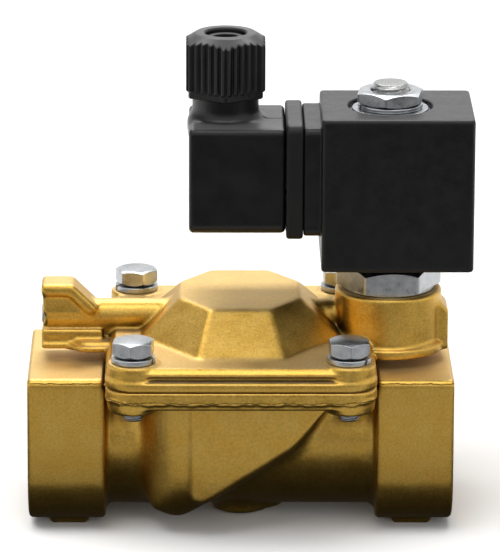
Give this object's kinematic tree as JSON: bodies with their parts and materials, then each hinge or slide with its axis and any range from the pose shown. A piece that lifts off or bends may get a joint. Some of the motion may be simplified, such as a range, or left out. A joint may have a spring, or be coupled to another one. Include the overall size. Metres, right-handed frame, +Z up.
{
  "type": "solenoid valve",
  "caption": "Servo-assisted shut-off valve with threaded ports, a bolted bonnet, a turnable square coil on an armature tube and a pull-off cable plug with a screwed gland.",
  "frame": {"origin": "on the plane of the feet, under the middle of the whole object's box", "axes": "+X along the flow from inlet to outlet, +Y to the back, +Z up along the armature tube"},
  "size_m": [0.1154, 0.082, 0.1293],
  "materials": {
    "forged_brass": "hot-forged and shot-blasted, satin",
    "machined_brass": "machined",
    "zinc_steel": "bright zinc plate",
    "stainless_steel": "machined",
    "copper": "enamelled wire or bare ring",
    "coil_plastic": "moulded, fine grain",
    "plug_plastic": "moulded, satin",
    "pale_plastic": "moulded",
    "rubber": "moulded"
  },
  "bodies": {
    "valve": {"valve_body": "forged_brass", "bonnet": "forged_brass", "passage_plug": "zinc_steel", "flange_bolt_front_left": "zinc_steel", "flange_bolt_front_right": "zinc_steel", "flange_bolt_rear_right": "zinc_steel", "flange_bolt_rear_left": "zinc_steel", "lock_washer_front_left": "zinc_steel", "lock_washer_front_right": "zinc_steel", "lock_washer_rear_right": "zinc_steel", "lock_washer_rear_left": "zinc_steel", "tube_base": "zinc_steel", "guide_tube": "stainless_steel", "fixed_core": "stainless_steel", "shading_ring": "copper", "tube_oring": "rubber", "coil_lower_seal": "rubber", "coil_flat_washer": "zinc_steel", "coil_lock_washer": "zinc_steel", "coil_nut": "zinc_steel"},
    "valve_disc": {"diaphragm": "rubber", "upper_plate": "stainless_steel", "lower_plate": "machined_brass", "plate_bolt": "stainless_steel", "plate_nut": "stainless_steel", "main_spring": "stainless_steel"},
    "pilot_plunger": {"plunger": "stainless_steel", "plunger_seal": "rubber", "plunger_spring": "stainless_steel"},
    "coil": {"coil_housing": "coil_plastic", "coil_yoke": "zinc_steel", "coil_bobbin": "pale_plastic", "coil_winding": "copper", "blade_line": "zinc_steel", "blade_neutral": "zinc_steel", "blade_earth": "zinc_steel"},
    "plug": {"plug_housing": "plug_plastic", "plug_gasket": "rubber", "terminal_block": "pale_plastic", "contact_line": "machined_brass", "contact_neutral": "machined_brass", "contact_earth": "machined_brass", "clamp_screw_line": "zinc_steel", "clamp_screw_neutral": "zinc_steel", "clamp_screw_earth": "zinc_steel", "plug_screw": "zinc_steel", "plug_screw_seal": "rubber", "gland_grommet": "rubber"},
    "gland_washer": {"gland_ring": "plug_plastic"},
    "gland_cap": {"gland_nut": "plug_plastic"}
  },
  "joints": [
    {"name": "main_valve_lift", "type": "slide", "parent": "valve", "child": "valve_disc", "axis": [0, 0, 1], "range_m": [0, 0.0055], "stiffness_N_per_m": 300, "springref_m": -0.01, "deforming": ["main_spring", "diaphragm"]},
    {"name": "plunger_lift", "type": "slide", "parent": "valve", "child": "pilot_plunger", "axis": [0, 0, 1], "range_m": [0, 0.002], "stiffness_N_per_m": 400, "springref_m": -0.006, "deforming": ["plunger_spring"]},
    {"name": "coil_swivel", "type": "hinge", "parent": "valve", "child": "coil", "pos_m": [0.0363, 0, 0.0694], "axis": [0, 0, 1], "continuous": true},
    {"name": "plug_pull", "type": "slide", "parent": "coil", "child": "plug", "axis": [-1, 0, 0], "range_m": [0, 0.018]},
    {"name": "gland_travel", "type": "slide", "parent": "plug", "child": "gland_washer", "axis": [0, 0, 1], "range_m": [0, 0.0029]},
    {"name": "gland_turn", "type": "hinge", "parent": "gland_washer", "child": "gland_cap", "pos_m": [-0.0064, 0, 0.1207], "axis": [0, 0, 1], "range_deg": [0, 720]}
  ],
  "couplings": [
    {"joint": "gland_travel", "follows": "gland_turn", "m_per_rad": 0.0002244}
  ]
}
